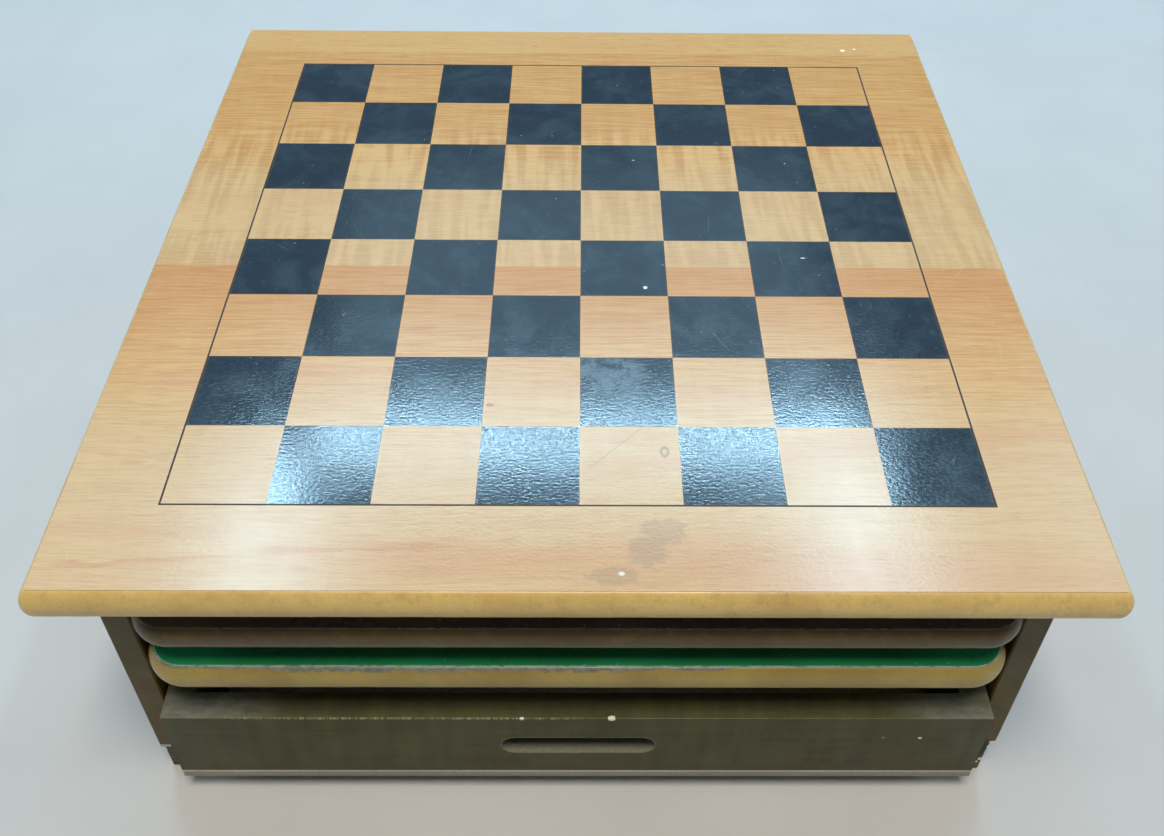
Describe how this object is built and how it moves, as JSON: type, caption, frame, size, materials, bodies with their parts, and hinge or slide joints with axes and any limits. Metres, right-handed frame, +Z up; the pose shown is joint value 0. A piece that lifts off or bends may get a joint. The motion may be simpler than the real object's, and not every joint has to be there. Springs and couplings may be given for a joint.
{
  "type": "games compendium box",
  "caption": "Wooden games box with a printed chessboard top, slide-out game boards with rounded corners and a drawer with a slot hand-hold.",
  "frame": {"origin": "on the floor under the middle of the top board", "axes": "+Z up, -Y the front where the boards and the drawer come out, +X to the right as seen from the front"},
  "size_m": [0.38, 0.38, 0.152],
  "materials": {
    "painted_edge": "satin tan paint on fibreboard",
    "printed_top": "varnished printed wood grain with dark squares",
    "panel_foil": "satin brown wood-grain foil",
    "drawer_foil": "satin brown wood-grain foil with cross ripples",
    "raw_board": "bare fibreboard",
    "runner_wood": "planed pale wood",
    "dowel_wood": "ribbed beech",
    "nail_steel": "dull bright steel",
    "upper_print": "glossy dark printed face",
    "lower_print": "glossy green printed face"
  },
  "bodies": {
    "cabinet": {"top_board": "painted_edge", "top_print": "printed_top", "side_panel_left": "panel_foil", "side_panel_right": "panel_foil", "back_panel": "panel_foil", "base_board": "raw_board", "runner_lower_left": "runner_wood", "runner_lower_right": "runner_wood", "runner_upper_left": "runner_wood", "runner_upper_right": "runner_wood", "top_dowels": "dowel_wood", "carcass_nails": "nail_steel", "runner_brads": "nail_steel"},
    "upper_game_board": {"upper_board": "painted_edge", "upper_board_print": "upper_print"},
    "lower_game_board": {"lower_board": "painted_edge", "lower_board_print": "lower_print"},
    "drawer": {"drawer_front": "drawer_foil", "drawer_side_left": "drawer_foil", "drawer_side_right": "drawer_foil", "drawer_back": "drawer_foil", "drawer_bottom": "raw_board", "drawer_divider_long": "raw_board", "drawer_divider_cross": "raw_board", "drawer_back_nails": "nail_steel", "drawer_bottom_nails": "nail_steel"}
  },
  "joints": [
    {"name": "drawer_slide", "type": "slide", "parent": "cabinet", "child": "drawer", "axis": [0, -1, 0], "range_m": [0, 0.3]},
    {"name": "upper_board_slide", "type": "slide", "parent": "cabinet", "child": "upper_game_board", "axis": [0, -1, 0], "range_m": [0, 0.3]},
    {"name": "lower_board_slide", "type": "slide", "parent": "cabinet", "child": "lower_game_board", "axis": [0, -1, 0], "range_m": [0, 0.3]}
  ]
}
